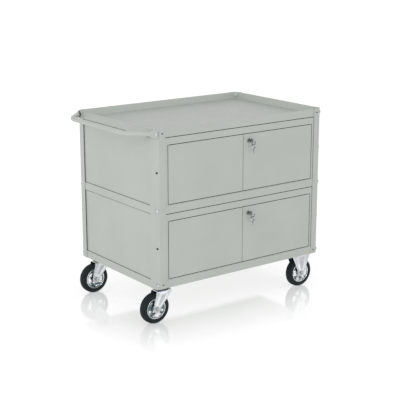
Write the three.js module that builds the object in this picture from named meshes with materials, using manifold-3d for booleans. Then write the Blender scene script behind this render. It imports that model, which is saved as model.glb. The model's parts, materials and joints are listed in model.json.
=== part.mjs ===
// Two-compartment steel service cart: three trays bolted inside four corner
// posts, two locked cupboards with double doors, a tubular push handle and four
// castors. Millimetres, +Z up, the front (doors) faces -Y, the handle is at -X.
import * as THREE from 'three';
import { mergeVertices } from 'three/addons/utils/BufferGeometryUtils.js';
import Module from 'manifold-3d';

const wasm = await Module();
wasm.setup();

// ---- driving dimensions -------------------------------------------------
const BODY_LENGTH = 1000;
const BODY_WIDTH = 680;
const BODY_HEIGHT = 746;
const CASTER_HEIGHT = 183;
const CORNER_CHAMFER = 18;
const SHEET = 2;
const GAP = 0.3;

const TRAY_PITCH = 354;
const LIP_HEIGHT = BODY_HEIGHT - 2 * TRAY_PITCH;
const POST_LEG = 52;
const SCREW_HOLE_FROM_EDGE = 35;

const FRAME_SHEET = 1.5;
const FRAME_HALF_WIDTH = 446.5;
const FRAME_EAR_HALF_WIDTH = 476;
const FRAME_DEPTH = 18;
const FRAME_LIP = 12;
const FRAME_BELOW_TRAY = 3;
const FRAME_ABOVE_FLOOR = 4;
const OPENING_BOTTOM = 40.95;
const OPENING_TOP = 319.35;
const DOORS_HALF_WIDTH = 432.65;
const DOOR_GAP = 3.2;
const MEETING_GAP = 2;
const DOOR_SHEET = 1.2;
const DOOR_DEPTH = 16;
const PIN_RADIUS = 2.2;
const PIN_INSET = 4;
const PIN_OVERRUN = 3.5;
const PIN_CLEAR = 0.5;

const PANEL_RECESS = 6;
const PANEL_EDGE_INSET = 22;
const PANEL_FLANGE = 14;
const PANEL_BELOW_TRAY = 3;

const LOCK_FROM_CENTER = 35;
const LOCK_BELOW_TOP = 32;
const LOCK_HEAD_RADIUS = 10;
const LOCK_HEAD_THICK = 3;
const LOCK_HEAD_EDGE = 1;
const LOCK_BARREL_RADIUS = 8;
const LOCK_NUT_RADIUS = 12;
const LOCK_NUT_THICK = 4;
const PLUG_RADIUS = 5;
const PLUG_CLEAR = 0.5;
const CAM_LENGTH = 42;
const CAM_HALF_WIDTH = 6;
const CAM_THICK = 2.5;
const KEY_THICK = 2.2;
const KEY_BLADE_HALF = 3;
const KEY_BLADE_DEPTH = 12;
const KEY_SHOULDER = 1.5;
const KEY_BOW_RADIUS = 11;
const KEY_BOW_FROM_LOCK = 16;
const KEY_BOW_SIDES = 16;
const KEY_EYE_RADIUS = KEY_BOW_RADIUS / 3;
const KEY_EYE_SIDES = 8;

const HANDLE_RADIUS = 11;
const HANDLE_REACH = 92;
const HANDLE_BEND = 80;
const PAD_HALF_THICK = 3.5;
const PAD_HALF_HEIGHT = 18;
const PAD_FRONT = 9;
const PAD_REAR = 13;
const TUBE_START = 30;
const HANDLE_STEPS = 36;

const BOLT_RADIUS = 4;
const BOLT_HEAD_RADIUS = 8;
const BOLT_HEAD_HEIGHT = 4.5;
const NUT_RADIUS = 7;
const NUT_THICK = 5;
const SPARE_HOLE_RADIUS = 4;
const SCREW_HOLE_RADIUS = 2.5;

const WHEEL_RADIUS = 75;
const WHEEL_SIDES = 28;
const AXLE_HEIGHT = WHEEL_RADIUS * Math.cos(Math.PI / WHEEL_SIDES);
const TYRE_HALF_WIDTH = 19;
const TREAD_HALF_WIDTH = 9;
const TYRE_EDGE_DROP = 4;
const TYRE_EDGE_INSET = 3;
const RIM_RADIUS = 51;
const RIM_BAND = 4;
const RIM_HALF_WIDTH = 16;
const DISC_HALF_THICK = 4;
const HUB_RADIUS = 14;
const HUB_HALF_LENGTH = 22;
const AXLE_RADIUS = 6;
const AXLE_CLEAR = 0.5;
const AXLE_HEAD_RADIUS = 10;
const AXLE_HEAD_THICK = 6;
const SWIVEL_X = -432;
const FIXED_X = 427;
const CASTOR_Y = 272;
const TRAIL = 40;
const FORK_SHEET = 3;
const FORK_INNER_HALF = 23.5;
const FORK_CROWN_Z = 158;
const FORK_FOOT_RADIUS = 20;
const FORK_FRONT_REACH = 43;
const FORK_REAR_REACH = 44;
const SWIVEL_LEG_BEND = 76;
const FIXED_LEG_BEND = 95;
const SWIVEL_PLATE_HALF = 54;
const FIXED_PLATE_HALF = 58;
const PLATE_HALF_WIDTH = 42;
const RACE_RADIUS = 34;
const KINGPIN_RADIUS = 8;
const KINGPIN_HEAD_RADIUS = 12;
const KINGPIN_HEAD_THICK = 4;

const ROUND_SIDES = 12;
const BOLT_SIDES = 8;
const HEX_SIDES = 6;
const CUT_EXTRA = 1;
const MERGE_DISTANCE = 1e-4;

// ---- finishes -----------------------------------------------------------
const FINISHES = {
  powderCoat: { color: 0xb7bdb5, roughness: 0.5, metalness: 0 },
  zinc: { color: 0xc6ccd0, roughness: 0.3, metalness: 1 },
  nickel: { color: 0xc9c9c4, roughness: 0.2, metalness: 1 },
  rubber: { color: 0x1c2226, roughness: 0.75, metalness: 0 },
};

// ---- solids -------------------------------------------------------------
function solidOf(geometry) {
  const plain = geometry.clone();
  plain.deleteAttribute('normal');
  plain.deleteAttribute('uv');
  const merged = mergeVertices(plain, MERGE_DISTANCE);
  return new wasm.Manifold(new wasm.Mesh({
    numProp: 3,
    vertProperties: merged.attributes.position.array,
    triVerts: merged.index.array,
  }));
}

function geometryOf(solid) {
  const mesh = solid.getMesh();
  const geometry = new THREE.BufferGeometry();
  geometry.setAttribute('position', new THREE.BufferAttribute(mesh.vertProperties, 3));
  geometry.setIndex(new THREE.BufferAttribute(mesh.triVerts, 1));
  return geometry;
}

const joined = (...pieces) => geometryOf(
  pieces.map(solidOf).reduce((sum, next) => sum.add(next)),
);

const cutFrom = (base, ...tools) => geometryOf(
  tools.map(solidOf).reduce((left, tool) => left.subtract(tool), solidOf(base)),
);

function block(x0, x1, y0, y1, z0, z1) {
  const geometry = new THREE.BoxGeometry(x1 - x0, y1 - y0, z1 - z0);
  return geometry.translate((x0 + x1) / 2, (y0 + y1) / 2, (z0 + z1) / 2);
}

const at = (x, y, z) => new THREE.Vector3(x, y, z);

function rod(radius, from, to, sides = ROUND_SIDES) {
  const axis = new THREE.Vector3().subVectors(to, from);
  const geometry = new THREE.CylinderGeometry(radius, radius, axis.length(), sides);
  const turn = new THREE.Quaternion().setFromUnitVectors(at(0, 1, 0), axis.normalize());
  const middle = new THREE.Vector3().addVectors(from, to).multiplyScalar(0.5);
  return geometry.applyQuaternion(turn).translate(middle.x, middle.y, middle.z);
}

const uprightRod = (radius, x, y, z0, z1) => rod(radius, at(x, y, z0), at(x, y, z1));
const crossRod = (radius, x, y0, y1, z, sides) => rod(radius, at(x, y0, z), at(x, y1, z), sides);

const outlineOf = (points) => new THREE.Shape(points.map(([x, y]) => new THREE.Vector2(x, y)));

const extruded = (outline, depth) => new THREE.ExtrudeGeometry(outline, {
  depth,
  bevelEnabled: false,
  curveSegments: ROUND_SIDES / 2,
});

// A flat slab drawn in X and Y, between two heights.
const slab = (outline, z0, z1) => extruded(outline, z1 - z0).translate(0, 0, z0);

// An upright slab drawn in X and Z, between two depths.
const upright = (outline, y0, y1) => extruded(outline, y1 - y0)
  .rotateX(Math.PI / 2)
  .translate(0, y1, 0);

// A closed outline of [radius, height] points turned round the Y axis.
const turned = (outline, sides = ROUND_SIDES) => new THREE.LatheGeometry(
  outline.map(([radius, height]) => new THREE.Vector2(radius, height)),
  sides,
);

// ---- the cart's frame of reference --------------------------------------
const cart = new THREE.Group();

function addPart(name, geometry, finish, parent = cart) {
  const mesh = new THREE.Mesh(geometry, new THREE.MeshStandardMaterial(FINISHES[finish]));
  mesh.name = name;
  parent.add(mesh);
  return mesh;
}

const CORNERS = [
  { name: 'front_left', sx: -1, sy: -1 },
  { name: 'front_right', sx: 1, sy: -1 },
  { name: 'rear_left', sx: -1, sy: 1 },
  { name: 'rear_right', sx: 1, sy: 1 },
];
const LEVELS = [
  { name: 'bottom', z: CASTER_HEIGHT },
  { name: 'middle', z: CASTER_HEIGHT + TRAY_PITCH },
  { name: 'top', z: CASTER_HEIGHT + 2 * TRAY_PITCH },
];
const COMPARTMENTS = [
  { name: 'lower', z: CASTER_HEIGHT },
  { name: 'upper', z: CASTER_HEIGHT + TRAY_PITCH },
];
const boltZ = (level) => level.z + LIP_HEIGHT / 2;

// A point measured inwards from a body corner along both of its sides.
const fromCorner = (corner, a, b) => [
  corner.sx * (BODY_LENGTH / 2 - a),
  corner.sy * (BODY_WIDTH / 2 - b),
];

// A point on a corner's diagonal, this far outside the face of its chamfer.
function onDiagonal(corner, outwards, z) {
  const inwards = CORNER_CHAMFER / 2 - outwards / Math.SQRT2;
  const [x, y] = fromCorner(corner, inwards, inwards);
  return at(x, y, z);
}

const cornerHole = (corner, radius, z) => rod(
  radius,
  onDiagonal(corner, CUT_EXTRA, z),
  onDiagonal(corner, -3 * SHEET - CUT_EXTRA, z),
);

// ---- corner posts, trays and their bolts --------------------------------
function postSection(corner) {
  const mitre = SHEET * Math.tan(Math.PI / 8);
  return outlineOf([
    fromCorner(corner, POST_LEG, 0),
    fromCorner(corner, CORNER_CHAMFER, 0),
    fromCorner(corner, 0, CORNER_CHAMFER),
    fromCorner(corner, 0, POST_LEG),
    fromCorner(corner, SHEET, POST_LEG),
    fromCorner(corner, SHEET, CORNER_CHAMFER + mitre),
    fromCorner(corner, CORNER_CHAMFER + mitre, SHEET),
    fromCorner(corner, POST_LEG, SHEET),
  ]);
}

function postHoles(corner) {
  const boltHoles = LEVELS.map((level) => cornerHole(corner, BOLT_RADIUS + GAP, boltZ(level)));
  const spareHoles = COMPARTMENTS.map(({ z }) => cornerHole(
    corner,
    SPARE_HOLE_RADIUS,
    z + (TRAY_PITCH + LIP_HEIGHT) / 2,
  ));
  const [x, y] = fromCorner(corner, SCREW_HOLE_FROM_EDGE, 0);
  const reach = SHEET + CUT_EXTRA;
  const screwHoles = [LEVELS[0], LEVELS[2]].map((level) => crossRod(
    SCREW_HOLE_RADIUS,
    x,
    y - reach,
    y + reach,
    boltZ(level),
  ));
  return [...boltHoles, ...spareHoles, ...screwHoles];
}

function addPosts() {
  for (const corner of CORNERS) {
    const blank = slab(postSection(corner), CASTER_HEIGHT, CASTER_HEIGHT + BODY_HEIGHT);
    addPart(`post_${corner.name}`, cutFrom(blank, ...postHoles(corner)), 'powderCoat');
  }
}

// The body's plan, a rectangle with 45 degree corners, moved inwards by inset.
function bodyOutline(inset) {
  const x = BODY_LENGTH / 2 - inset;
  const y = BODY_WIDTH / 2 - inset;
  const c = CORNER_CHAMFER - inset * (2 - Math.SQRT2);
  return outlineOf([
    [x - c, -y], [x, c - y], [x, y - c], [x - c, y],
    [c - x, y], [-x, y - c], [-x, c - y], [c - x, -y],
  ]);
}

function addTrays() {
  const inset = SHEET + GAP;
  for (const level of LEVELS) {
    const top = level.z + LIP_HEIGHT;
    const blank = slab(bodyOutline(inset), level.z, top);
    const hollow = slab(bodyOutline(inset + SHEET), level.z + SHEET, top + CUT_EXTRA);
    const holes = CORNERS.map((corner) => cornerHole(corner, BOLT_RADIUS + GAP, boltZ(level)));
    addPart(`${level.name}_tray`, cutFrom(blank, hollow, ...holes), 'powderCoat');
  }
}

// A bolt along Y: domed head above headAt, shank, and a hexagon nut below nutAt.
function boltGeometry(headAt, nutAt) {
  const tip = nutAt - NUT_THICK - CUT_EXTRA;
  const bolt = turned([
    [0, tip],
    [BOLT_RADIUS, tip],
    [BOLT_RADIUS, headAt],
    [BOLT_HEAD_RADIUS, headAt],
    [BOLT_HEAD_RADIUS * 0.9, headAt + BOLT_HEAD_HEIGHT * 0.5],
    [BOLT_HEAD_RADIUS * 0.5, headAt + BOLT_HEAD_HEIGHT * 0.9],
    [0, headAt + BOLT_HEAD_HEIGHT],
  ], BOLT_SIDES);
  const nut = new THREE.CylinderGeometry(NUT_RADIUS, NUT_RADIUS, NUT_THICK, HEX_SIDES);
  return joined(bolt, nut.translate(0, nutAt - NUT_THICK / 2, 0));
}

function addCornerBolts() {
  const nutAt = -2 * SHEET - 2 * GAP;
  const overPad = 2 * PAD_HALF_THICK + 2 * GAP;
  for (const corner of CORNERS) {
    const outwards = at(corner.sx, corner.sy, 0).normalize();
    for (const level of LEVELS) {
      const holdsHandle = corner.sx < 0 && level.name === 'top';
      const geometry = boltGeometry(holdsHandle ? overPad : GAP, nutAt);
      const bolt = addPart(`bolt_${corner.name}_${level.name}`, geometry, 'zinc');
      bolt.quaternion.setFromUnitVectors(at(0, 1, 0), outwards);
      bolt.position.copy(onDiagonal(corner, 0, boltZ(level)));
    }
  }
}

// ---- push handle --------------------------------------------------------
// The front half leaves its pad along the chamfer, at 45 degrees to the end of
// the body; the rear half mirrors it.
const PAD_CENTER = onDiagonal(CORNERS[0], GAP + PAD_HALF_THICK, boltZ(LEVELS[2]));

function handlePath() {
  const { x, y, z } = PAD_CENTER;
  const start = TUBE_START / Math.SQRT2;
  const gripX = -BODY_LENGTH / 2 - HANDLE_REACH;
  const cornerY = y + (x - gripX);
  const trim = HANDLE_BEND * Math.tan(Math.PI / 8);
  const slope = trim / Math.SQRT2;
  const half = [at(x - start, y + start, z), at(gripX + slope, cornerY - slope, z)];
  const corner = at(gripX, cornerY, z);
  const gripEnd = at(gripX, cornerY + trim, z);
  const mirrored = (point) => at(point.x, -point.y, point.z);
  const path = new THREE.CurvePath();
  path.add(new THREE.LineCurve3(half[0], half[1]));
  path.add(new THREE.QuadraticBezierCurve3(half[1], corner, gripEnd));
  path.add(new THREE.LineCurve3(gripEnd, mirrored(gripEnd)));
  path.add(new THREE.QuadraticBezierCurve3(mirrored(gripEnd), mirrored(corner), mirrored(half[1])));
  path.add(new THREE.LineCurve3(mirrored(half[1]), mirrored(half[0])));
  return path;
}

// The end of the tube: a flat pad with a bolt hole, and the taper into the tube.
function handleEnd() {
  const taperLength = TUBE_START - PAD_REAR + CUT_EXTRA;
  const taper = new THREE.CylinderGeometry(1, 1, taperLength, ROUND_SIDES);
  const points = taper.attributes.position;
  for (let i = 0; i < points.count; i += 1) {
    const round = points.getY(i) > 0;
    points.setX(i, points.getX(i) * (round ? HANDLE_RADIUS : PAD_HALF_THICK));
    points.setZ(i, points.getZ(i) * (round ? HANDLE_RADIUS : PAD_HALF_HEIGHT));
  }
  taper.translate(0, PAD_REAR + taperLength / 2 - CUT_EXTRA / 2, 0);
  const pad = block(
    -PAD_HALF_THICK,
    PAD_HALF_THICK,
    -PAD_FRONT,
    PAD_REAR,
    -PAD_HALF_HEIGHT,
    PAD_HALF_HEIGHT,
  );
  const hole = rod(BOLT_RADIUS + GAP, at(-PAD_REAR, 0, 0), at(PAD_REAR, 0, 0));
  return joined(cutFrom(pad, hole), taper);
}

function addHandle() {
  const section = new THREE.Shape().absarc(0, 0, HANDLE_RADIUS, 0, 2 * Math.PI);
  const tube = new THREE.ExtrudeGeometry(section, {
    extrudePath: handlePath(),
    steps: HANDLE_STEPS,
    curveSegments: ROUND_SIDES / 2,
  });
  const ends = [-1, 1].map((side) => handleEnd()
    .rotateZ(side < 0 ? Math.PI / 4 : 3 * Math.PI / 4)
    .translate(PAD_CENTER.x, side * -PAD_CENTER.y, PAD_CENTER.z));
  addPart('push_handle', joined(tube, ...ends), 'powderCoat');
}

// ---- cupboard fronts ----------------------------------------------------
const FRONT_Y = -BODY_WIDTH / 2 + SHEET + GAP;
const PIN_X = DOORS_HALF_WIDTH - PIN_INSET;
const PIN_Y = FRONT_Y + PIN_INSET;

// The frame's face lies between the posts, flush with the tray lips. Its sides
// fold back and then outwards behind the posts, and its foot is behind a lip.
function frameGeometry(z) {
  const half = DOORS_HALF_WIDTH + DOOR_GAP;
  const bottom = z + OPENING_BOTTOM;
  const top = z + OPENING_TOP;
  const back = FRONT_Y + FRAME_DEPTH;
  const low = z + LIP_HEIGHT + GAP;
  const high = z + TRAY_PITCH - FRAME_BELOW_TRAY;
  const inside = FRAME_HALF_WIDTH - FRAME_SHEET;
  const folded = cutFrom(
    block(-FRAME_HALF_WIDTH, FRAME_HALF_WIDTH, FRONT_Y, back, low, high),
    block(
      -inside,
      inside,
      FRONT_Y + FRAME_SHEET,
      back + CUT_EXTRA,
      low - CUT_EXTRA,
      high - FRAME_SHEET,
    ),
  );
  const ears = [[-FRAME_EAR_HALF_WIDTH, -inside], [inside, FRAME_EAR_HALF_WIDTH]].map(
    ([x0, x1]) => block(x0, x1, back - FRAME_SHEET, back, low, high),
  );
  const footFront = FRONT_Y + SHEET + GAP;
  const foot = block(
    -FRAME_HALF_WIDTH,
    FRAME_HALF_WIDTH,
    footFront,
    footFront + FRAME_SHEET,
    z + SHEET + FRAME_ABOVE_FLOOR,
    bottom,
  );
  const flange = block(
    -half - FRAME_SHEET,
    half + FRAME_SHEET,
    FRONT_Y,
    back,
    bottom - FRAME_SHEET,
    top + FRAME_SHEET,
  );
  const catchLip = block(-half, half, back - FRAME_SHEET, back, top, top + FRAME_LIP);
  const opening = block(-half, half, FRONT_Y - CUT_EXTRA, back + CUT_EXTRA, bottom, top);
  const pinHoles = [-PIN_X, PIN_X].map((x) => uprightRod(
    PIN_RADIUS + PIN_CLEAR,
    x,
    PIN_Y,
    bottom - PIN_OVERRUN,
    top + PIN_OVERRUN,
  ));
  return cutFrom(joined(folded, ...ears, foot, flange, catchLip), opening, ...pinHoles);
}

// A folded pan between x0 and x1, its open side to the rear.
function doorPan(x0, x1, z0, z1) {
  const pan = block(x0, x1, FRONT_Y, FRONT_Y + DOOR_DEPTH, z0, z1);
  const hollow = block(
    x0 + DOOR_SHEET,
    x1 - DOOR_SHEET,
    FRONT_Y + DOOR_SHEET,
    FRONT_Y + DOOR_DEPTH + CUT_EXTRA,
    z0 + DOOR_SHEET,
    z1 - DOOR_SHEET,
  );
  return cutFrom(pan, hollow);
}

function addFront({ name, z }) {
  addPart(`${name}_front_frame`, frameGeometry(z), 'powderCoat');
  const bottom = z + OPENING_BOTTOM + DOOR_GAP;
  const top = z + OPENING_TOP - DOOR_GAP;
  const lockZ = top - LOCK_BELOW_TOP;
  const sides = [
    { side: 'left', x0: -DOORS_HALF_WIDTH, x1: -MEETING_GAP / 2, pinX: -PIN_X },
    { side: 'right', x0: MEETING_GAP / 2, x1: DOORS_HALF_WIDTH, pinX: PIN_X },
  ];
  for (const { side, x0, x1, pinX } of sides) {
    const cuts = [uprightRod(
      PIN_RADIUS + PIN_CLEAR,
      pinX,
      PIN_Y,
      bottom - CUT_EXTRA,
      top + CUT_EXTRA,
    )];
    if (side === 'right') {
      cuts.push(crossRod(
        LOCK_BARREL_RADIUS + GAP,
        LOCK_FROM_CENTER,
        FRONT_Y - CUT_EXTRA,
        FRONT_Y + DOOR_SHEET + CUT_EXTRA,
        lockZ,
      ));
    }
    addPart(`${name}_${side}_door`, cutFrom(doorPan(x0, x1, bottom, top), ...cuts), 'powderCoat');
    const pin = uprightRod(
      PIN_RADIUS,
      pinX,
      PIN_Y,
      bottom - DOOR_GAP - PIN_OVERRUN + CUT_EXTRA,
      top + DOOR_GAP + PIN_OVERRUN - CUT_EXTRA,
    );
    addPart(`${name}_${side}_hinge_pin`, pin, 'zinc');
  }
  addLock(name, lockZ);
}

// ---- cam lock, drawn along Y with the door's face at 0 ------------------
function lockBody() {
  const bore = PLUG_RADIUS + PLUG_CLEAR;
  const front = -LOCK_HEAD_THICK - GAP;
  const back = FRAME_DEPTH - CUT_EXTRA;
  const nutFront = DOOR_SHEET + GAP;
  return turned([
    [bore, front],
    [LOCK_HEAD_RADIUS - LOCK_HEAD_EDGE, front],
    [LOCK_HEAD_RADIUS, front + LOCK_HEAD_EDGE],
    [LOCK_HEAD_RADIUS, -GAP],
    [LOCK_BARREL_RADIUS, -GAP],
    [LOCK_BARREL_RADIUS, nutFront],
    [LOCK_NUT_RADIUS, nutFront],
    [LOCK_NUT_RADIUS, nutFront + LOCK_NUT_THICK],
    [LOCK_BARREL_RADIUS, nutFront + LOCK_NUT_THICK],
    [LOCK_BARREL_RADIUS, back],
    [bore, back],
    [bore, front],
  ]);
}

// The turning plug, with its keyway, and the flat cam on its rear end.
function lockPlug() {
  const front = -LOCK_HEAD_THICK - GAP;
  const camFront = FRAME_DEPTH + 2 * GAP;
  const camBack = camFront + CAM_THICK;
  const barrel = crossRod(PLUG_RADIUS, 0, front, camBack, 0);
  const cam = upright(outlineOf([
    [-CAM_HALF_WIDTH, -CAM_HALF_WIDTH],
    [CAM_LENGTH - CAM_HALF_WIDTH, -CAM_HALF_WIDTH],
    [CAM_LENGTH, -CAM_HALF_WIDTH / 2],
    [CAM_LENGTH, CAM_HALF_WIDTH / 2],
    [CAM_LENGTH - CAM_HALF_WIDTH, CAM_HALF_WIDTH],
    [-CAM_HALF_WIDTH, CAM_HALF_WIDTH],
  ]), camFront, camBack);
  const wide = KEY_THICK / 2 + GAP;
  const tall = KEY_BLADE_HALF + GAP;
  const keyway = block(
    -wide,
    wide,
    front - CUT_EXTRA,
    front + KEY_BLADE_DEPTH + GAP,
    -tall,
    tall,
  );
  return cutFrom(joined(barrel, cam), keyway);
}

// The key stands upright in the plug: blade, shoulder and a round bow.
function keyGeometry() {
  const front = -LOCK_HEAD_THICK - GAP;
  const half = KEY_THICK / 2;
  const bowY = front - KEY_BOW_FROM_LOCK;
  const bow = rod(KEY_BOW_RADIUS, at(-half, bowY, 0), at(half, bowY, 0), KEY_BOW_SIDES);
  const eye = rod(
    KEY_EYE_RADIUS,
    at(-half - CUT_EXTRA, bowY - KEY_EYE_RADIUS, 0),
    at(half + CUT_EXTRA, bowY - KEY_EYE_RADIUS, 0),
    KEY_EYE_SIDES,
  );
  const shoulder = KEY_BLADE_HALF + KEY_SHOULDER;
  const neck = block(-half, half, bowY, front - GAP, -shoulder, shoulder);
  const blade = block(
    -half,
    half,
    bowY,
    front + KEY_BLADE_DEPTH,
    -KEY_BLADE_HALF,
    KEY_BLADE_HALF,
  );
  return cutFrom(joined(bow, neck, blade), eye);
}

function addLock(name, z) {
  const lock = new THREE.Group();
  lock.position.set(LOCK_FROM_CENTER, FRONT_Y, z);
  addPart(`${name}_lock_body`, lockBody(), 'nickel', lock);
  addPart(`${name}_lock_plug_and_cam`, lockPlug(), 'nickel', lock);
  addPart(`${name}_key`, keyGeometry(), 'nickel', lock);
  cart.add(lock);
}

// ---- end and rear panels ------------------------------------------------
// A folded pan that stands behind two post legs, outer face towards -Y.
function panelGeometry(halfWidth, z0, z1) {
  const pan = block(-halfWidth, halfWidth, 0, PANEL_FLANGE, z0, z1);
  const hollow = block(
    -halfWidth + DOOR_SHEET,
    halfWidth - DOOR_SHEET,
    DOOR_SHEET,
    PANEL_FLANGE + CUT_EXTRA,
    z0 + DOOR_SHEET,
    z1 - DOOR_SHEET,
  );
  return cutFrom(pan, hollow);
}

function addPanels() {
  const endHalf = BODY_WIDTH / 2 - PANEL_EDGE_INSET;
  const rearHalf = BODY_LENGTH / 2 - PANEL_EDGE_INSET;
  for (const { name, z } of COMPARTMENTS) {
    const bottom = z + LIP_HEIGHT + GAP;
    const top = z + TRAY_PITCH - PANEL_BELOW_TRAY;
    const end = panelGeometry(endHalf, bottom, top);
    const left = addPart(`${name}_left_end_panel`, end, 'powderCoat');
    left.rotation.z = -Math.PI / 2;
    left.position.x = -BODY_LENGTH / 2 + PANEL_RECESS;
    const right = addPart(`${name}_right_end_panel`, end, 'powderCoat');
    right.rotation.z = Math.PI / 2;
    right.position.x = BODY_LENGTH / 2 - PANEL_RECESS;
    const rear = addPart(
      `${name}_rear_panel`,
      panelGeometry(rearHalf, bottom, top),
      'powderCoat',
    );
    rear.rotation.z = Math.PI;
    rear.position.y = BODY_WIDTH / 2 - PANEL_RECESS;
  }
}

// ---- castors, drawn with the wheel's axle at x = 0, y = 0 ---------------
function rimGeometry() {
  const bore = AXLE_RADIUS + AXLE_CLEAR;
  const well = RIM_RADIUS - RIM_BAND;
  const half = [
    [bore, HUB_HALF_LENGTH],
    [HUB_RADIUS, HUB_HALF_LENGTH],
    [HUB_RADIUS, DISC_HALF_THICK],
    [well, DISC_HALF_THICK],
    [well, RIM_HALF_WIDTH],
    [RIM_RADIUS, RIM_HALF_WIDTH],
  ];
  const lower = half.map(([r, h]) => [r, -h]);
  return turned([...lower, ...half.reverse(), lower[0]], WHEEL_SIDES);
}

function tyreGeometry() {
  const inner = RIM_RADIUS + GAP;
  const shoulder = (WHEEL_RADIUS + inner) / 2;
  const half = [
    [inner, RIM_HALF_WIDTH],
    [shoulder, TYRE_HALF_WIDTH],
    [WHEEL_RADIUS - TYRE_EDGE_DROP, TYRE_HALF_WIDTH - TYRE_EDGE_INSET],
    [WHEEL_RADIUS, TREAD_HALF_WIDTH],
  ];
  const lower = half.map(([r, h]) => [r, -h]);
  return turned([...lower, ...half.reverse(), lower[0]], WHEEL_SIDES);
}

function axleGeometry() {
  const outer = FORK_INNER_HALF + FORK_SHEET + GAP;
  const end = outer + AXLE_HEAD_THICK;
  return joined(
    crossRod(AXLE_RADIUS, 0, -end, end, 0),
    crossRod(AXLE_HEAD_RADIUS, 0, -end, -outer, 0, HEX_SIDES),
    crossRod(AXLE_HEAD_RADIUS, 0, outer, end, 0, HEX_SIDES),
  );
}

// One fork leg in X and Z round the axle: a round foot that widens to the top.
function legOutline(left, right, top, bend) {
  const r = FORK_FOOT_RADIUS;
  const outline = new THREE.Shape();
  outline.moveTo(left, top);
  outline.lineTo(left, bend);
  outline.lineTo(-r, 0);
  outline.absarc(0, 0, r, Math.PI, 2 * Math.PI);
  outline.lineTo(right, bend);
  outline.lineTo(right, top);
  return outline;
}

function forkLegs(outline) {
  const outer = FORK_INNER_HALF + FORK_SHEET;
  const legs = [[-outer, -FORK_INNER_HALF], [FORK_INNER_HALF, outer]];
  return legs.map(([y0, y1]) => upright(outline, y0, y1));
}

const axleHole = () => crossRod(
  AXLE_RADIUS + AXLE_CLEAR,
  0,
  -FORK_INNER_HALF - FORK_SHEET - CUT_EXTRA,
  FORK_INNER_HALF + FORK_SHEET + CUT_EXTRA,
  0,
);

const PLATE_TOP = CASTER_HEIGHT - GAP - AXLE_HEIGHT;
const PLATE_BOTTOM = PLATE_TOP - FORK_SHEET;
const CROWN_BOTTOM = FORK_CROWN_Z - AXLE_HEIGHT;
const CROWN_TOP = CROWN_BOTTOM + FORK_SHEET;
const FORK_OUTER_HALF = FORK_INNER_HALF + FORK_SHEET;

function swivelFork() {
  const left = TRAIL - FORK_FRONT_REACH;
  const right = TRAIL + FORK_REAR_REACH;
  const legs = forkLegs(legOutline(left, right, CROWN_TOP, SWIVEL_LEG_BEND));
  const crown = block(left, right, -FORK_OUTER_HALF, FORK_OUTER_HALF, CROWN_BOTTOM, CROWN_TOP);
  const kingpinHole = uprightRod(
    KINGPIN_RADIUS + AXLE_CLEAR,
    TRAIL,
    0,
    CROWN_BOTTOM - CUT_EXTRA,
    CROWN_TOP + CUT_EXTRA,
  );
  return cutFrom(joined(crown, ...legs), axleHole(), kingpinHole);
}

function swivelPlate() {
  const plate = block(
    TRAIL - SWIVEL_PLATE_HALF,
    TRAIL + SWIVEL_PLATE_HALF,
    -PLATE_HALF_WIDTH,
    PLATE_HALF_WIDTH,
    PLATE_BOTTOM,
    PLATE_TOP,
  );
  const race = rod(
    RACE_RADIUS,
    at(TRAIL, 0, CROWN_TOP + GAP),
    at(TRAIL, 0, PLATE_TOP - CUT_EXTRA),
    2 * ROUND_SIDES,
  );
  const headTop = CROWN_BOTTOM - GAP;
  const pin = uprightRod(KINGPIN_RADIUS, TRAIL, 0, headTop - CUT_EXTRA, PLATE_BOTTOM + CUT_EXTRA);
  const head = uprightRod(
    KINGPIN_HEAD_RADIUS,
    TRAIL,
    0,
    headTop - KINGPIN_HEAD_THICK,
    headTop,
  );
  return joined(plate, race, pin, head);
}

function fixedFork() {
  const top = PLATE_BOTTOM + CUT_EXTRA;
  const outline = legOutline(-FIXED_PLATE_HALF, FIXED_PLATE_HALF, top, FIXED_LEG_BEND);
  const legs = forkLegs(outline);
  const plate = block(
    -FIXED_PLATE_HALF,
    FIXED_PLATE_HALF,
    -PLATE_HALF_WIDTH,
    PLATE_HALF_WIDTH,
    PLATE_BOTTOM,
    PLATE_TOP,
  );
  return cutFrom(joined(plate, ...legs), axleHole());
}

function addCastor(corner) {
  const castor = new THREE.Group();
  const swivels = corner.sx < 0;
  const axleX = swivels ? SWIVEL_X - TRAIL : FIXED_X;
  castor.position.set(axleX, corner.sy * CASTOR_Y, AXLE_HEIGHT);
  if (swivels) {
    addPart(`swivel_plate_${corner.name}`, swivelPlate(), 'zinc', castor);
    addPart(`swivel_fork_${corner.name}`, swivelFork(), 'zinc', castor);
  } else {
    addPart(`fixed_fork_${corner.name}`, fixedFork(), 'zinc', castor);
  }
  addPart(`axle_${corner.name}`, axleGeometry(), 'zinc', castor);
  const wheel = new THREE.Group();
  wheel.rotation.y = Math.PI / WHEEL_SIDES;
  addPart(`rim_${corner.name}`, rimGeometry(), 'zinc', wheel);
  addPart(`tyre_${corner.name}`, tyreGeometry(), 'rubber', wheel);
  castor.add(wheel);
  cart.add(castor);
}

// ---- assembly -----------------------------------------------------------
addPosts();
addTrays();
addCornerBolts();
addHandle();
COMPARTMENTS.forEach(addFront);
addPanels();
CORNERS.forEach(addCastor);

// The origin is the middle of the whole cart's plan, on the floor.
const extent = new THREE.Box3().setFromObject(cart, true);
cart.position.set(
  -(extent.min.x + extent.max.x) / 2,
  -(extent.min.y + extent.max.y) / 2,
  -extent.min.z,
);

export default cart;
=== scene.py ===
import json
import math
import random

import bmesh
import bpy
from mathutils import Matrix, Vector


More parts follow.
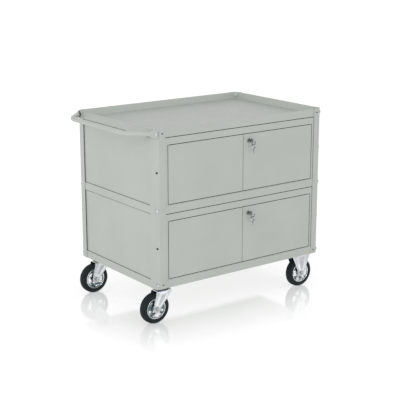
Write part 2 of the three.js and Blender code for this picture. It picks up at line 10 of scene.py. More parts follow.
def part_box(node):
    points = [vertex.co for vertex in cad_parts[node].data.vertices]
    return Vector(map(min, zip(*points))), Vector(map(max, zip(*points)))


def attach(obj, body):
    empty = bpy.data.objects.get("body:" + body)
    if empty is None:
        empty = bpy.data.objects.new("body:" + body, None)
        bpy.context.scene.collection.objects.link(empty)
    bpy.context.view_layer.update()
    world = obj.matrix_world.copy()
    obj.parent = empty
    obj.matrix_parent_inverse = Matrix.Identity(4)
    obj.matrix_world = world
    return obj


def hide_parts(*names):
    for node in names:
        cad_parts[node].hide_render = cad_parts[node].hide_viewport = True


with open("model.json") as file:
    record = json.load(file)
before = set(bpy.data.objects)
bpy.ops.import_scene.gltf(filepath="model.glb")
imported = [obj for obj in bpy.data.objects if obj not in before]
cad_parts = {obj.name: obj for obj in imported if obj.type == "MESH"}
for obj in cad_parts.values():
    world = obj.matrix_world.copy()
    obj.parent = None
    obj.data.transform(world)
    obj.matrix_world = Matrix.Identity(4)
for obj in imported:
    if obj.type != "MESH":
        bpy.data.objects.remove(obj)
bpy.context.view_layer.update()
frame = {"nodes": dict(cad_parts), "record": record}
random.seed(20)

# ---- units, places and bodies ---------------------------------------------
# Shapes are drawn in millimetres and turned into metres when a mesh is made.
MM = 0.001
CORNERS = {
    "front_left": (-1, -1),
    "front_right": (1, -1),
    "rear_left": (-1, 1),
    "rear_right": (1, 1),
}
LEVELS = ("bottom", "middle", "top")
COMPARTMENTS = ("lower", "upper")
SWIVELLING = ("front_left", "rear_left")
CORNER_CHAMFER = 18
BOLT_HEAD_RADIUS = 7.85
LONG_BOLT_HEAD = 7.6  # how far the handle's pad lifts its bolts' heads
FORK_FOOT_RADIUS = 20
FORK_SHEET = 3.0
KEY_BOW_RADIUS = 11
KEY_EYE_DROP = 4.6
SPARE_KEY_ANGLE = 63
EDGE_SOFTENING = 0.6

BODY_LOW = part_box("post_front_left")[0] / MM
BODY_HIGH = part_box("post_rear_right")[1] / MM
BODY_MID = (BODY_LOW + BODY_HIGH) / 2


def box_mm(node):
    low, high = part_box(node)
    return low / MM, high / MM


def middle_mm(node):
    low, high = box_mm(node)
    return (low + high) / 2


# ---- mesh helpers -----------------------------------------------------------
class Shell:
    """Points in millimetres and the faces between them."""

    def __init__(self):
        self.points = []
        self.faces = []

    def loft(self, rings, closed=True, looped=False, capped=True):
        """Joins rings of equal length with quads.

        closed joins each ring's ends, looped joins the last ring to the first.
        """
        start, count = len(self.points), len(rings[0])
        for ring in rings:
            self.points.extend(Vector(p) for p in ring)
        steps = len(rings) if looped else len(rings) - 1
        across = count if closed else count - 1
        for i in range(steps):
            a, b = start + i * count, start + (i + 1) % len(rings) * count
            for j in range(across):
                k = (j + 1) % count
                self.faces.append((a + j, a + k, b + k, b + j))
        if closed and capped and not looped:
            self.faces.append(tuple(start + j for j in reversed(range(count))))
            last = start + (len(rings) - 1) * count
            self.faces.append(tuple(last + j for j in range(count)))
        return self

    def add(self, other):
        start = len(self.points)
        self.points.extend(other.points)
        self.faces.extend(tuple(start + i for i in face) for face in other.faces)
        return self

    def moved(self, matrix):
        out = Shell()
        out.points = [matrix @ p for p in self.points]
        out.faces = list(self.faces)
        return out

    def at(self, x, y, z):
        return self.moved(Matrix.Translation((x, y, z)))


TO_Y = Matrix.Rotation(-math.pi / 2, 4, "X")  # an axis along +Z goes to +Y
TO_MINUS_Y = Matrix.Rotation(math.pi / 2, 4, "X")


def turned(profile, segments=32, change=None):
    """Turns (radius, height) points round Z. The profile's ends are on the axis, or it is a closed loop."""
    looped = profile[0][0] > 0
    rings = []
    for i in range(segments):
        angle = 2 * math.pi * i / segments
        ring = []
        for r, h in profile:
            if change:
                r, h = change(r, h, angle)
            ring.append((r * math.cos(angle), r * math.sin(angle), h))
        rings.append(ring)
    return Shell().loft(rings, closed=looped, looped=True)


def circle(radius, segments, phase=0.0):
    angles = [phase + 2 * math.pi * i / segments for i in range(segments)]
    return [(radius * math.cos(a), radius * math.sin(a)) for a in angles]


def slab(outline, z0, z1):
    """A flat plate of this outline in X and Y."""
    return Shell().loft([[(x, y, z) for x, y in outline] for z in (z0, z1)])


def rounded_box(x, y, radius, steps=6):
    """The outline of a rectangle of half sides x and y, with round corners."""
    points = []
    for quarter, (sx, sy) in enumerate(((1, 1), (-1, 1), (-1, -1), (1, -1))):
        for i in range(steps + 1):
            angle = math.pi / 2 * (quarter + i / steps)
            points.append((
                sx * (x - radius) + radius * math.cos(angle),
                sy * (y - radius) + radius * math.sin(angle),
            ))
    return points


def hexagon(radius):
    return circle(radius, 6)


def swept(points, radius, segments=12, looped=False):
    """A round wire along points."""
    count = len(points)
    rings = []
    for i, point in enumerate(points):
        before = points[(i - 1) % count] if looped or i else point
        after = points[(i + 1) % count] if looped or i < count - 1 else point
        along = (Vector(after) - Vector(before)).normalized()
        side = along.cross(Vector((0, 1, 0)) if abs(along.y) < 0.9 else Vector((1, 0, 0))).normalized()
        up = side.cross(along)
        rings.append([Vector(point) + side * a + up * b for a, b in circle(radius, segments)])
    return Shell().loft(rings, looped=looped)


def mesh_of(name, shell, bevel=0.0, bevel_segments=2, smooth=35):
    mesh = bpy.data.meshes.new(name)
    mesh.from_pydata([p * MM for p in shell.points], [], shell.faces)
    work = bmesh.new()
    work.from_mesh(mesh)
    bmesh.ops.remove_doubles(work, verts=work.verts, dist=1e-6)
    bmesh.ops.dissolve_degenerate(work, edges=work.edges, dist=1e-7)
    bmesh.ops.recalc_face_normals(work, faces=work.faces)
    if bevel:
        sharp = [e for e in work.edges if len(e.link_faces) == 2 and e.calc_face_angle() > math.radians(30)]
        bmesh.ops.bevel(
            work,
            geom=sharp,
            offset=bevel * MM,
            segments=bevel_segments,
            profile=0.5,
            affect="EDGES",
            clamp_overlap=True,
        )
    work.to_mesh(mesh)
    work.free()
    mesh.shade_smooth()
    mesh.set_sharp_from_angle(angle=math.radians(smooth))
    return mesh


def fused(name, base, joins=(), cuts=(), **style):
    """The base mesh with other shells joined to it and cut from it, as one solid."""
    def temporary(shell):
        obj = bpy.data.objects.new("temporary", mesh_of("temporary", shell))
        bpy.context.scene.collection.objects.link(obj)
        return obj

    subject = temporary(base)
    tools = []
    for operation, shells in (("UNION", joins), ("DIFFERENCE", cuts)):
        for shell in shells:
            tool = temporary(shell)
            tools.append(tool)
            step = subject.modifiers.new("step", "BOOLEAN")
            step.operation = operation
            step.solver = "EXACT"
            step.object = tool
    bpy.context.view_layer.update()
    done = subject.evaluated_get(bpy.context.evaluated_depsgraph_get()).to_mesh()
    result = Shell()
    result.points = [v.co / MM for v in done.vertices]
    result.faces = [tuple(p.vertices) for p in done.polygons]
    for obj in [subject, *tools]:
        bpy.data.objects.remove(obj)
    return mesh_of(name, result, **style)


def piece(name, mesh, finish, body, place=(0, 0, 0), stands_for=(), turn=None):
    """A piece of the cart at a place in millimetres, on a body, in one of the finishes."""
    if turn:
        mesh = mesh.copy()
        mesh.transform(turn)
    if not mesh.materials:
        mesh.materials.append(FINISHES[finish])
    obj = bpy.data.objects.new(name, mesh)
    bpy.context.scene.collection.objects.link(obj)
    obj.location = Vector(place) * MM
    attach(obj, body)
    if stands_for:
        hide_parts(*stands_for)
    return obj


# ---- materials --------------------------------------------------------------
class Nodes:
    """A material's node tree, with short ways to add and join nodes."""

    def __init__(self, name):
        self.material = bpy.data.materials.new(name)
        self.material.use_nodes = True
        self.tree = self.material.node_tree
        self.shader = self.tree.nodes["Principled BSDF"]

    def node(self, kind, inputs=None, **settings):
        made = self.tree.nodes.new(kind)
        for key, value in settings.items():
            setattr(made, key, value)
        for key, value in (inputs or {}).items():
            if isinstance(value, bpy.types.NodeSocket):
                self.tree.links.new(value, made.inputs[key])
            else:
                made.inputs[key].default_value = value
        return made

    def place(self, stretch=(1, 1, 1)):
        where = self.node("ShaderNodeTexCoord").outputs["Object"]
        return self.node("ShaderNodeMapping", {"Vector": where, "Scale": stretch}).outputs["Vector"]

    def noise(self, scale, detail=2.0, stretch=(1, 1, 1)):
        inputs = {"Vector": self.place(stretch), "Scale": scale, "Detail": detail}
        return self.node("ShaderNodeTexNoise", inputs).outputs["Fac"]

    def ramp(self, factor, low, high, start=0.3, end=0.7):
        made = self.node("ShaderNodeValToRGB", {"Fac": factor})
        made.color_ramp.elements[0].position = start
        made.color_ramp.elements[0].color = (*low, 1)
        made.color_ramp.elements[1].position = end
        made.color_ramp.elements[1].color = (*high, 1)
        return made.outputs["Color"]

    def span(self, factor, low, high, start=0.3, end=0.7):
        inputs = {"Value": factor, "From Min": start, "From Max": end, "To Min": low, "To Max": high}
        return self.node("ShaderNodeMapRange", inputs).outputs["Result"]

    def painted_gap_shade(self, colour, dark, reach_mm):
        """Paints shade into a colour inside narrow gaps, darkening it where the surface sees little open sky.
        """
        reach = {"Distance": reach_mm * MM}
        open_sky = self.node("ShaderNodeAmbientOcclusion", reach, samples=8).outputs["AO"]
        inputs = {"Factor": self.span(open_sky, 0.0, 1.0, 0.22, 0.52), "A": (*dark, 1), "B": colour}
        return self.mix(inputs)

    def mix(self, inputs):
        made = self.node("ShaderNodeMix", data_type="RGBA")
        sockets = {"Factor": 0, "A": 6, "B": 7}
        for key, value in inputs.items():
            socket = made.inputs[sockets[key]]
            if isinstance(value, bpy.types.NodeSocket):
                self.tree.links.new(value, socket)
            else:
                socket.default_value = value
        return made.outputs[2]

    def maths(self, operation, *values):
        return self.node("ShaderNodeMath", dict(enumerate(values)), operation=operation).outputs[0]

    def vector(self, operation, *values):
        made = self.node("ShaderNodeVectorMath", dict(enumerate(values)), operation=operation)
        return made.outputs["Value" if operation == "LENGTH" else "Vector"]

    def bump(self, height, depth_mm, strength=1.0, after=None):
        inputs = {"Height": height, "Distance": depth_mm * MM, "Strength": strength}
        if after:
            inputs["Normal"] = after
        return self.node("ShaderNodeBump", inputs).outputs["Normal"]

    def set(self, **sockets):
        for key, value in sockets.items():
            socket = self.shader.inputs[key.replace("_", " ")]
            if isinstance(value, bpy.types.NodeSocket):
                self.tree.links.new(value, socket)
            else:
                socket.default_value = value
        return self.material


COAT_TONES = ((0.402, 0.428, 0.398), (0.424, 0.452, 0.420))


def coated(n, colour):
    """Satin paint of this colour, with a fine orange peel over slow waves in the sheet."""
    orange_peel = n.bump(n.noise(520, 2), 0.12, 0.35)
    waves = n.bump(n.noise(7, 1), 1.2, 0.5, after=orange_peel)
    rough = n.span(n.noise(60, 5), 0.36, 0.50)
    return n.set(Base_Color=colour, Roughness=rough, Normal=waves, Metallic=0.0)


def powder_coat():
    n = Nodes("powder_coat")
    coat = n.ramp(n.noise(5, 4), *COAT_TONES)
    # painted shade: the coat is darkened inside the gaps round the doors, frame and trays
    return coated(n, n.painted_gap_shade(coat, (0.045, 0.05, 0.045), 14))


def tray_coat_painted_light():
    """The top tray's coat with painted light: painted lighter on the inner sides of its lip and darker on its
    floor.
    """
    n = Nodes("tray_coat_painted_light")
    across = n.node("ShaderNodeSeparateXYZ", {0: n.node("ShaderNodeTexCoord").outputs["Normal"]}).outputs["Z"]
    level = n.span(n.maths("ABSOLUTE", across), 0.0, 1.0, 0.3, 0.9)
    low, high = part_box("top_tray")
    middle = (low + high) / 2
    reach = (high - low) / 2 - Vector((1.4, 1.4, 0)) * MM
    beside = n.vector("ABSOLUTE", n.vector("SUBTRACT", n.place(), tuple(middle)))
    x, y, _ = n.node("ShaderNodeSeparateXYZ", {0: n.vector("SUBTRACT", beside, tuple(reach))}).outputs
    outer = n.span(n.maths("MAXIMUM", x, y), 0.0, 1.0, -0.0002, 0.0002)
    cloud = n.noise(5, 4)
    # painted light: the floor is painted darker and the lip's inner sides lighter than the outside coat
    floor = n.ramp(cloud, (0.372, 0.396, 0.368), (0.392, 0.418, 0.388))
    lip_inside_painted_lighter = n.ramp(cloud, (0.520, 0.552, 0.516), (0.548, 0.582, 0.544))
    outside = n.ramp(cloud, *COAT_TONES)
    sides = n.mix({"Factor": outer, "A": lip_inside_painted_lighter, "B": outside})
    return coated(n, n.mix({"Factor": level, "A": sides, "B": floor}))


def zinc_plate():
    n = Nodes("zinc_plate")
    tint = n.ramp(n.noise(45, 3), (0.36, 0.38, 0.375), (0.62, 0.645, 0.64))
    rough = n.span(n.noise(140, 4), 0.20, 0.36)
    grain = n.bump(n.noise(900, 2, stretch=(1, 1, 0.25)), 0.05, 0.4)
    return n.set(Base_Color=tint, Roughness=rough, Normal=grain, Metallic=1.0)


def fork_plate_painted_reflection():
    """Zinc-plated pressings with painted reflection: the flat of each leg painted darker, the sheet painted
    brighter where it bends away.
    """
    n = Nodes("fork_plate_painted_reflection")
    across = n.node("ShaderNodeSeparateXYZ", {0: n.node("ShaderNodeTexCoord").outputs["Normal"]}).outputs["Y"]
    flat = n.span(n.maths("ABSOLUTE", across), 0.0, 1.0, 0.982, 0.9985)
    bends_painted_bright = n.ramp(n.noise(60, 2), (0.74, 0.80, 0.85), (0.86, 0.90, 0.93))
    flat_painted_dark = n.ramp(n.noise(24, 3), (0.46, 0.47, 0.49), (0.58, 0.59, 0.61))
    # painted reflection: darker tint on the legs' flats, brighter where the sheet bends
    tint = n.mix({"Factor": flat, "A": bends_painted_bright, "B": flat_painted_dark})
    rough = n.span(n.noise(140, 4), 0.24, 0.34)
    grain = n.bump(n.noise(900, 2, stretch=(1, 1, 0.25)), 0.02, 0.25)
    return n.set(Base_Color=tint, Roughness=rough, Normal=grain, Metallic=1.0)


def rim_plate_painted_reflections():
    """Bright zinc with dark reflections painted on in patches, and a rolled lip kept free of them."""
    n = Nodes("rim_plate_painted_reflections")
    x, _, z = n.node("ShaderNodeSeparateXYZ", {0: n.place()}).outputs
    radius = n.vector("LENGTH", n.node("ShaderNodeCombineXYZ", {0: x, 1: z}).outputs[0])
    lip = n.span(radius, 0.0, 1.0, 0.0455, 0.0475)
    shade = n.node("ShaderNodeObjectInfo").outputs["Random"]
    inputs = {"Vector": n.place(), "W": shade, "Scale": 42, "Detail": 2}
    spot = n.node("ShaderNodeTexNoise", inputs, noise_dimensions="4D")
    # painted reflection: near-black patches over the dish stand for dark surroundings seen in it
    painted_dark_reflections = n.ramp(spot.outputs["Fac"], (0.10, 0.15, 0.17), (0.84, 0.85, 0.85), 0.46, 0.54)
    tint = n.mix({"Factor": lip, "A": painted_dark_reflections, "B": (0.88, 0.89, 0.89, 1)})
    rough = n.span(n.noise(200, 4), 0.14, 0.30)
    grain = n.bump(n.noise(260, 3), 0.12, 0.3)
    return n.set(Base_Color=tint, Roughness=rough, Normal=grain, Metallic=1.0)


def nickel_plate():
    n = Nodes("nickel_plate")
    # painted reflection: the tint's near-black patches stand for dark reflections; its light end is the
    # nickel's own colour
    tint = n.ramp(n.noise(150, 3), (0.10, 0.11, 0.105), (0.50, 0.52, 0.50), 0.38, 0.60)
    rough = n.span(n.noise(400, 4, stretch=(1, 0.2, 1)), 0.12, 0.28)
    scratches = n.bump(n.noise(1500, 2, stretch=(0.1, 1, 1)), 0.03, 0.4)
    return n.set(Base_Color=tint, Roughness=rough, Normal=scratches, Metallic=1.0)


def tyre_rubber():
    n = Nodes("tyre_rubber")
    colour = n.ramp(n.noise(30, 4), (0.002, 0.007, 0.008), (0.007, 0.015, 0.017))
    rough = n.span(n.noise(90, 4), 0.42, 0.60)
    grain = n.bump(n.noise(1400, 2), 0.06, 0.5)
    return n.set(Base_Color=colour, Roughness=rough, Normal=grain, Specular_IOR_Level=0.22)


# Painted shade: a black finish for the fills that stand for shade in the posts' holes and at the swivel
# crowns.
def painted_shade_black():
    n = Nodes("painted_shade_black")
    colour = n.ramp(n.noise(300, 3), (0.012, 0.013, 0.013), (0.04, 0.04, 0.038))
    rough = n.span(n.noise(700, 3), 0.35, 0.55)
    grain = n.bump(n.noise(1800, 2), 0.03, 0.5)
    return n.set(Base_Color=colour, Roughness=rough, Normal=grain, Metallic=0.6)


FINISHES = {
    "paint": powder_coat(),
    "tray": tray_coat_painted_light(),
    "zinc": zinc_plate(),
    "fork": fork_plate_painted_reflection(),
    "rim": rim_plate_painted_reflections(),
    "nickel": nickel_plate(),
    "rubber": tyre_rubber(),
    "black": painted_shade_black(),
}
SLOTS = {
    "paint": "powder_coat",
    "zinc": "zinc_plate",
    "fork": "zinc_plate",
    "rim": "zinc_plate",
    "nickel": "nickel_plate",
    "rubber": "tyre_rubber",
}


# ---- sheet metal: the CAD nodes themselves, with softened edges --------------
def soften(obj, width, segments=2):
    weld = obj.modifiers.new("weld", "WELD")
    weld.merge_threshold = 1e-5
    edge = obj.modifiers.new("edge", "BEVEL")
    edge.limit_method = "ANGLE"
    edge.angle_limit = math.radians(30)
    edge.width = width * MM
    edge.segments = segments


def finish_cad_nodes():
    for name, obj in frame["nodes"].items():
        slot = next(s["material_slot"] for s in frame["record"]["subparts"] if s["node"] == name)
        finish = next(key for key, value in SLOTS.items() if value == slot)
        obj.data.materials.clear()
        obj.data.materials.append(FINISHES["tray" if name == "top_tray" else finish])
        if name.endswith(("tray", "panel", "door", "frame")) or name.startswith("post"):
            soften(obj, EDGE_SOFTENING)


# ---- corner bolts --------------------------------------------------------------
def bolt_mesh(head_at, nut_at):
    """A domed head above head_at, a shank and a hexagon nut below nut_at, along Z."""
    rise = [math.pi / 2 * i / 8 for i in range(9)]
    dome = [(BOLT_HEAD_RADIUS * math.cos(a), head_at + 0.7 + 3.8 * math.sin(a)) for a in rise]
    tip = nut_at - 6
    shank = [(0, tip), (3.2, tip), (4, tip + 1), (4, head_at)]
    head = [*shank, (BOLT_HEAD_RADIUS, head_at), *dome[:-1], (0, head_at + 4.5)]
    shell = turned(head, 32)
    nut = slab(hexagon(7), nut_at - 5, nut_at)
    return fused("corner_bolt", shell, joins=[nut], bevel=0.25)


def add_corner_bolts():
    sheets = -4.6
    plain, long = bolt_mesh(0.3, sheets), bolt_mesh(LONG_BOLT_HEAD, sheets)
    for corner, (sx, sy) in CORNERS.items():
        for level in LEVELS:
            name = f"bolt_{corner}_{level}"
            outwards = Vector((sx, sy, 0)).normalized()
            middle = middle_mm(name)
            x = (BODY_LOW.x if sx < 0 else BODY_HIGH.x) - sx * CORNER_CHAMFER / 2
            y = (BODY_LOW.y if sy < 0 else BODY_HIGH.y) - sy * CORNER_CHAMFER / 2
            turn = outwards.to_track_quat("Z", "Y").to_matrix().to_4x4()
            mesh = long if sx < 0 and level == "top" else plain
            piece(f"{name}_dome", mesh, "zinc", "cart_body", (x, y, middle.z), (name,), turn)


# ---- push handle -----------------------------------------------------------------
TUBE_RADIUS = 11
HANDLE_BEND = 80
PAD_OFFSET = 3.8


def smoothstep(low, high, value):
    t = min(max((value - low) / (high - low), 0.0), 1.0)
    return t * t * (3 - 2 * t)


def handle_line():
    """The tube's centre line from the front pad to the rear one, as (point, distance from the pad's bolt)."""
    low, high = box_mm("push_handle")
    z = (low.z + high.z) / 2
    grip_x = low.x + TUBE_RADIUS
    inset = CORNER_CHAMFER / 2 - PAD_OFFSET / math.sqrt(2)
    pad = Vector((BODY_LOW.x + inset, BODY_LOW.y + inset, z))
    corner = pad + Vector((-1, 1, 0)) * (pad.x - grip_x)
    trim = HANDLE_BEND * math.tan(math.pi / 8)
    centre = Vector((grip_x + HANDLE_BEND, corner.y + trim, z))
    along = Vector((-1, 1, 0)).normalized()
    reach = (corner - pad).length - trim
    stations = (-9, -8.4, -7, -5, -2, 3, 8, 13, 16, 19, 22, 25, 28, 32, 45, 60, 80, reach)
    half = [(pad + along * d, d) for d in stations]
    for i in range(1, 17):
        angle = math.radians(225 - 45 * i / 16)
        turn = Vector((math.cos(angle), math.sin(angle), 0)) * HANDLE_BEND
        half.append((centre + turn, reach + i))
    rear = [(Vector((p.x, 2 * BODY_MID.y - p.y, p.z)), d) for p, d in reversed(half)]
    return half + rear


def add_handle():
    line = handle_line()
    rings = []
    for i, (point, d) in enumerate(line):
        before, after = line[max(i - 1, 0)][0], line[min(i + 1, len(line) - 1)][0]
        along = (after - before).normalized()
        side = Vector((along.y, -along.x, 0))
        flat = 1 - smoothstep(12, 31, d)
        wide = TUBE_RADIUS + (3.5 - TUBE_RADIUS) * flat
        tall = TUBE_RADIUS + (18 - TUBE_RADIUS) * flat
        end = smoothstep(-9.5, -5, d)
        tall -= 5 * (1 - end) * flat
        power = 1 - 0.62 * flat
        ring = []
        for j in range(32):
            angle = 2 * math.pi * j / 32
            c, s = math.cos(angle), math.sin(angle)
            ring.append(
                point
                + side * wide * math.copysign(abs(c) ** power, c)
                + Vector((0, 0, 1)) * tall * math.copysign(abs(s) ** power, s)
            )
        rings.append(ring)
    mesh = mesh_of("push_handle_tube", Shell().loft(rings), smooth=50)
    piece("push_handle_tube", mesh, "paint", "cart_body", stands_for=("push_handle",))


# ---- castors ------------------------------------------------------------------------
def tyre_profile():
    crown, shoulder = [], []
    for i in range(11):
        angle = math.pi / 2 * i / 10
        shoulder.append((63 + 11.2 * math.sin(angle), 8.5 + 10.3 * math.cos(angle)))
    for h in (6, 3, 0):
        crown.append((74.5 - 0.15 * (h / 9) ** 2, h))
    side = [(51.3, 15), (52, 17), (53.4, 18.2), (56.4, 18.5), (57, 19), (58.2, 19), (58.8, 18.6), (61, 18.8)]
    half = side + shoulder + crown
    return half + [(r, -h) for r, h in reversed(half[:-1])]


def tread(ribs, depth=1.5, slant=0.09):
    """Cuts slanted grooves into the tread and shoulders."""
    def change(r, h, angle):
        shallow = smoothstep(64, 70, r)
        wave = math.cos(ribs * angle + slant * ribs * h / 6)
        groove = smoothstep(0.1, 0.8, wave)
        return r - depth * shallow * groove, h
    return change


def tyre_mesh():
    return mesh_of("tyre", turned(tyre_profile(), 432, tread(72)).moved(TO_Y), smooth=60)


def crimps(count):
    """Presses short radial ribs into the rim's dish."""
    def change(r, h, angle):
        band = smoothstep(37.5, 39.5, r) * (1 - smoothstep(45, 46.6, r))
        rise = 1.5 * band * smoothstep(0.0, 0.7, math.cos(count * angle))
        return r, h + math.copysign(rise, h)
    return change


def rim_mesh():
    half = [
        (6.5, 21), (12, 21.6), (13.2, 21), (14, 19.8), (14, 11), (15, 9.4), (16.5, 9),
        (21, 9.8), (26, 9.6), (29, 8), (31.5, 6), (34, 5.2), (36.5, 5.2), (38, 5.6), (39.5, 6.2),
        (41.5, 7.4), (43.5, 8.8), (45, 10.2), (46.2, 12), (47, 14.2), (47.6, 16.4), (48.4, 18),
        (49.4, 18.6), (50.3, 18.1), (51, 16.6), (51, 13),
    ]
    profile = half + [(r, -h) for r, h in reversed(half)]
    shell = turned(profile, 216, crimps(36))
    rivet = [(0, 7), (3.4, 7), (3.4, 9.6), (2.9, 10.6), (1.8, 11.3), (0, 11.6)]
    for i in range(6):
        angle = 2 * math.pi * i / 6
        for flip in (Matrix.Identity(4), Matrix.Rotation(math.pi, 4, "X")):
            place = Matrix.Rotation(angle, 4, "Z") @ Matrix.Translation((22.5, 0, 0))
            shell.add(turned(rivet, 16).moved(place @ flip))
    return mesh_of("rim", shell.moved(TO_Y), smooth=40)


def axle_mesh():
    """Bolt through fork and hub, with a hexagon head, washers and a lock nut."""
    shell = turned([(0, -32.6), (5.2, -32.6), (6, -31.8), (6, 31.8), (5.2, 32.6), (0, 32.6)], 24)
    washer = [(6.2, 26.8), (11.5, 26.8), (11.8, 27.2), (11.5, 28.2), (6.2, 28.2)]
    for s in (-1, 1):
        shell.add(turned([(r, s * h) for r, h in washer], 32))
        nut = slab(hexagon(9.4), 28.3, 31.6 if s > 0 else 32.0)
        shell.add(nut if s > 0 else nut.moved(Matrix.Rotation(math.pi, 4, "X")))
    return mesh_of("axle", shell.moved(TO_Y), bevel=0.3)


def leg_edges(z, left, right, bend):
    """The fork leg's front and rear edge at a height above the axle."""
    foot = FORK_FOOT_RADIUS
    if z < 0:
        half = math.sqrt(max(foot * foot - z * z, 0.0))
        return -half, half
    rise = min(z / bend, 1.0)
    ease = 0.25 * smoothstep(0, 1, rise) + 0.75 * rise
    return -foot + (left + foot) * ease, foot + (right - foot) * ease


def fork_sheet(left, right, bend, crown, crown_left, crown_right, radius=9, thick=FORK_SHEET):
    """A pressed fork: leg, crown and leg from one bent sheet, ribbed down each leg."""
    half = 25
    stations = []
    for z in (-20, -19.5, -18, -15.4, -11, -6, 0):
        stations.append((z, -half, 0.0))
    top = crown - radius
    steps = 14
    for i in range(1, steps + 1):
        stations.append((top * i / steps, -half, 0.0))
    for i in range(1, 8):
        angle = math.pi / 2 * i / 7
        stations.append((top + radius * math.sin(angle), -half + radius * (1 - math.cos(angle)), angle))
    across = [(z, -y, math.pi - a) for z, y, a in reversed(stations)]
    middle = [(crown, y, math.pi / 2) for y in (-8, 0, 8)]
    path = stations + middle + across
    outer, inner = [], []
    columns = 22
    for z, y, angle in path:
        x0, x1 = leg_edges(z, left, right, bend)
        lift = smoothstep(top - 4, top + radius, z)
        x0 += (crown_left - x0) * lift
        x1 += (crown_right - x1) * lift
        on_leg = 1 - smoothstep(top - 8, top, z)
        width = x1 - x0
        out_row, in_row = [], []
        for j in range(columns + 1):
            u = j / columns
            x = x0 + width * u
            edge = min(u, 1 - u) * width
            rib = smoothstep(0.14, 0.40, u) * (1 - smoothstep(0.60, 0.86, u))
            rib *= smoothstep(24, 40, width)
            rib *= smoothstep(6, 22, z)
            curl = (1 - edge / 20) ** 2 if edge < 20 else 0.0
            push = on_leg * (2.4 * rib - 1.6 * curl * smoothstep(10, 34, z))
            direction = Vector((0, -math.cos(angle), math.sin(angle)))
            base = Vector((x, y, z)) + direction * push
            out_row.append(base + direction * thick / 2)
            in_row.append(base - direction * thick / 2)
        outer.append(out_row)
        inner.append(in_row)
    rings = [o + list(reversed(i)) for o, i in zip(outer, inner)]
    return Shell().loft(rings)


def rounded_plate(half_x, half_y, z0, z1, middle_x):
    return slab(rounded_box(half_x, half_y, 9), z0, z1).at(middle_x, 0, 0)


def plate_bolts(half_x, half_y, middle_x, top):
    """Hexagon heads with washers under the plate, and domes inside the bottom tray."""
    shell = Shell()
    for sx in (-1, 1):
        for sy in (-1, 1):
            place = (middle_x + sx * half_x, sy * half_y, top)
            shell.add(turned([(0, -3.2), (9, -3.2), (9, -4.6), (8.6, -4.9), (0, -4.9)], 24).at(*place))
            shell.add(slab(hexagon(7.2), -10.2, -4.9).at(*place))
            shell.add(turned([(0, -11.5), (3.2, -11.5), (4, -10.8), (4, 2.5), (0, 2.5)], 16).at(*place))
            shell.add(turned([(0, 2.4), (8, 2.4), (7.6, 4), (5.5, 5.6), (2.8, 6.4), (0, 6.6)], 24).at(*place))
    return shell


def add_castor(corner):
    tyre_low, tyre_high = box_mm(f"tyre_{corner}")
    axle = (tyre_low + tyre_high) / 2
    swivels = corner in SWIVELLING
    holder = f"swivel_{corner}" if swivels else "cart_body"
    wheel = f"wheel_{corner}"
    turn = Matrix.Rotation(random.uniform(0, 2 * math.pi), 4, "Y")
    tyre, rim, axle_bolt = CASTOR_MESHES["tyre"], CASTOR_MESHES["rim"], CASTOR_MESHES["axle"]
    piece(f"tyre_{corner}_treaded", tyre, "rubber", wheel, axle, (f"tyre_{corner}",), turn)
    piece(f"rim_{corner}_pressed", rim, "rim", wheel, axle, (f"rim_{corner}",), turn)
    piece(f"axle_{corner}_bolt", axle_bolt, "zinc", holder, axle, (f"axle_{corner}",))
    if swivels:
        fork, head = CASTOR_MESHES["swivel_fork"], CASTOR_MESHES["swivel_head"]
        piece(f"fork_{corner}_pressed", fork, "fork", holder, axle, (f"swivel_fork_{corner}",))
        piece(f"swivel_head_{corner}", head, "zinc", "cart_body", axle, (f"swivel_plate_{corner}",))
        # painted shade: a black ring for the shaded crown under the swivel plate
        piece(f"swivel_seal_{corner}", CASTOR_MESHES["shade_ring"], "black", "cart_body", axle)
        piece(f"plate_bolts_{corner}", CASTOR_MESHES["swivel_bolts"], "zinc", "cart_body", axle)
    else:
        fork = CASTOR_MESHES["fixed_fork"]
        piece(f"fork_{corner}_pressed", fork, "fork", "cart_body", axle, (f"fixed_fork_{corner}",))
        piece(f"plate_bolts_{corner}", CASTOR_MESHES["fixed_bolts"], "zinc", "cart_body", axle)


